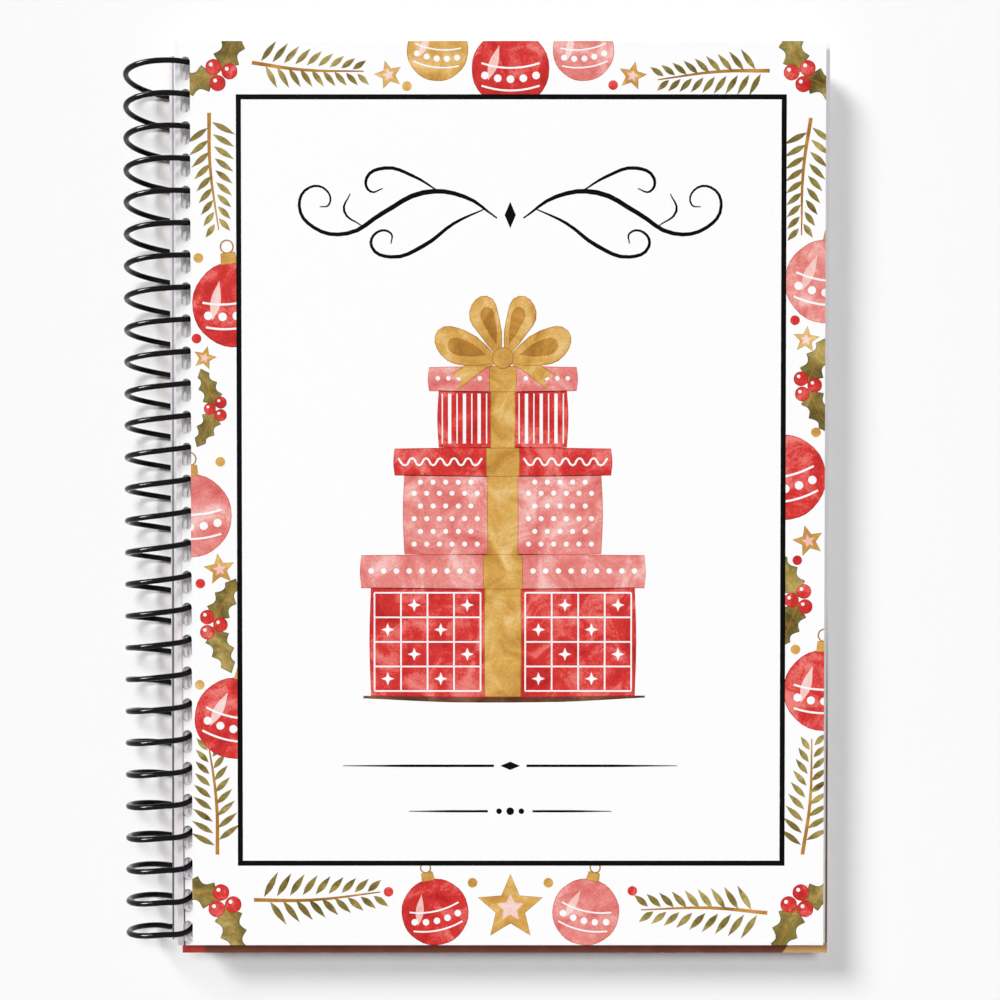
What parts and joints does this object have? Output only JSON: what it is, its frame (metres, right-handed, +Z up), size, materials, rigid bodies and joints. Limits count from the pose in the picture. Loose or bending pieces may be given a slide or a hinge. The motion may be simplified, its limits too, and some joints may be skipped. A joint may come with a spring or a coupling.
{
  "type": "gift card holder",
  "caption": "Coil-bound book of paper pages with clear pockets that hold gift cards, between two card covers that turn over on a spiral coil along the left edge.",
  "frame": {"origin": "middle of the footprint, on the surface the book lies on", "axes": "+X from the coil towards the fore edge, +Y towards the head of the book, +Z up out of the front cover"},
  "size_m": [0.1402, 0.18, 0.0147],
  "materials": {
    "cover_card": "satin coated card, printed",
    "back_board": "satin coated card, printed",
    "page_paper": "matte uncoated paper",
    "pocket_film": "clear film",
    "pocket_seal": "frosted welded seam",
    "coil_plastic": "glossy black"
  },
  "bodies": {
    "back": {"back_cover": "back_board", "coil": "coil_plastic"},
    "leaf_7": {"page_7": "page_paper", "pocket_seals_7": "pocket_seal", "pocket_film_7": "pocket_film"},
    "leaf_6": {"page_6": "page_paper", "pocket_seals_6": "pocket_seal", "pocket_film_6": "pocket_film"},
    "leaf_5": {"page_5": "page_paper", "pocket_seals_5": "pocket_seal", "pocket_film_5": "pocket_film"},
    "leaf_4": {"page_4": "page_paper", "pocket_seals_4": "pocket_seal", "pocket_film_4": "pocket_film"},
    "leaf_3": {"page_3": "page_paper", "pocket_seals_3": "pocket_seal", "pocket_film_3": "pocket_film"},
    "leaf_2": {"page_2": "page_paper", "pocket_seals_2": "pocket_seal", "pocket_film_2": "pocket_film"},
    "leaf_1": {"page_1": "page_paper", "pocket_seals_1": "pocket_seal", "pocket_film_1": "pocket_film"},
    "front": {"front_cover": "cover_card"}
  },
  "joints": [
    {"name": "leaf_7_turn", "type": "hinge", "parent": "back", "child": "leaf_7", "pos_m": [-0.06277, 0, 0.00734], "axis": [0, -1, 0], "range_deg": [0, 180]},
    {"name": "leaf_6_turn", "type": "hinge", "parent": "leaf_7", "child": "leaf_6", "pos_m": [-0.06277, 0, 0.00734], "axis": [0, -1, 0], "range_deg": [0, 180]},
    {"name": "leaf_5_turn", "type": "hinge", "parent": "leaf_6", "child": "leaf_5", "pos_m": [-0.06277, 0, 0.00734], "axis": [0, -1, 0], "range_deg": [0, 180]},
    {"name": "leaf_4_turn", "type": "hinge", "parent": "leaf_5", "child": "leaf_4", "pos_m": [-0.06277, 0, 0.00734], "axis": [0, -1, 0], "range_deg": [0, 180]},
    {"name": "leaf_3_turn", "type": "hinge", "parent": "leaf_4", "child": "leaf_3", "pos_m": [-0.06277, 0, 0.00734], "axis": [0, -1, 0], "range_deg": [0, 180]},
    {"name": "leaf_2_turn", "type": "hinge", "parent": "leaf_3", "child": "leaf_2", "pos_m": [-0.06277, 0, 0.00734], "axis": [0, -1, 0], "range_deg": [0, 180]},
    {"name": "leaf_1_turn", "type": "hinge", "parent": "leaf_2", "child": "leaf_1", "pos_m": [-0.06277, 0, 0.00734], "axis": [0, -1, 0], "range_deg": [0, 180]},
    {"name": "front_cover_turn", "type": "hinge", "parent": "leaf_1", "child": "front", "pos_m": [-0.06277, 0, 0.00734], "axis": [0, -1, 0], "range_deg": [0, 180]}
  ]
}
